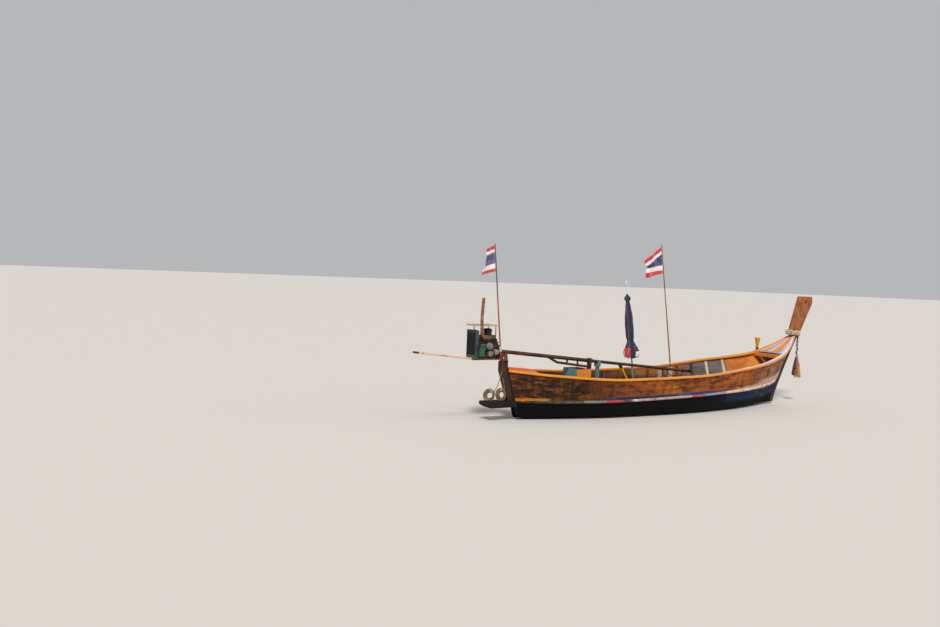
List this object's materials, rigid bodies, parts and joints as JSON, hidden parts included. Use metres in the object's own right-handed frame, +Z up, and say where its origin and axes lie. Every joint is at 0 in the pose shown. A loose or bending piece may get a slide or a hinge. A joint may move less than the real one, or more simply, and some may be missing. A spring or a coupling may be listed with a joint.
{
  "type": "longtail boat",
  "caption": "Wooden longtail boat with flared planked hull, upright prow plank, striped foredeck, pole-mounted motor swung inboard, furled umbrella and flag poles.",
  "frame": {"origin": "centre of the keel plank's underside, 4 m forward of the transom's top edge", "axes": "+X towards the bow, +Y to port, +Z up"},
  "size_m": [10.5578, 1.7374, 3.4873],
  "materials": {
    "planking_wood": "varnished",
    "bottom_paint": "painted",
    "orange_paint": "gloss paint",
    "stripe_paint": "painted",
    "teal_paint": "painted",
    "yellow_paint": "painted",
    "pale_wood": "weathered",
    "rubber": "matte",
    "rope": "laid rope",
    "cloth": "cloth",
    "steel": "rusty",
    "engine_metal": "oily",
    "bronze": "worn"
  },
  "bodies": {
    "hull": {"hull_planking": "planking_wood", "gunwale_starboard": "orange_paint", "gunwale_port": "orange_paint", "ribs_and_keelson": "planking_wood", "floorboards": "planking_wood", "thwarts_and_risers": "planking_wood", "keel_plank": "bottom_paint", "strake_starboard": "stripe_paint", "strake_port": "stripe_paint", "foredeck": "orange_paint", "stern_deck": "orange_paint", "fore_beam": "orange_paint", "bollard": "orange_paint", "stem": "planking_wood", "prow_plank": "planking_wood", "sternpost": "planking_wood", "stern_step": "bottom_paint", "rope_coil_aft": "rope", "rope_coil_side": "rope", "stern_locker": "teal_paint", "crutch_post": "teal_paint", "yellow_prop": "yellow_paint", "prop_pad": "rubber", "umbrella_socket": "teal_paint", "umbrella_pole": "pale_wood", "umbrella_canopy": "cloth", "short_post_aft": "pale_wood", "short_post_fore": "pale_wood", "flag_pole": "pale_wood", "flag_mid": "cloth", "garland": "cloth", "sash": "cloth"},
    "swivel": {"swivel_yoke": "steel"},
    "motor": {"tail_frame": "steel", "tail_tube": "steel", "skeg_hoop": "steel", "engine_bed": "steel", "engine_block": "engine_metal", "cylinder_head": "engine_metal", "bell_housing": "engine_metal", "radiator": "engine_metal", "top_plate": "pale_wood", "air_cleaner": "engine_metal", "alternator": "engine_metal", "starter_motor": "engine_metal", "gear_case": "engine_metal", "exhaust_stack": "steel", "tiller": "steel", "stern_flag_pole": "pale_wood", "flag_stern": "cloth"},
    "propeller": {"propeller": "bronze"}
  },
  "joints": [
    {"name": "motor_swing", "type": "hinge", "parent": "hull", "child": "swivel", "pos_m": [-4.06, 0, 1.215], "axis": [0.0785, 0, -0.9969], "range_deg": [0, 240]},
    {"name": "motor_tilt", "type": "hinge", "parent": "swivel", "child": "motor", "pos_m": [-4.06, 0, 1.215], "axis": [0, -1, 0], "range_deg": [0, 15]},
    {"name": "propeller_spin", "type": "hinge", "parent": "motor", "child": "propeller", "pos_m": [0.65, 0, 0.81437], "axis": [0.9951, 0, -0.0988], "continuous": true}
  ]
}
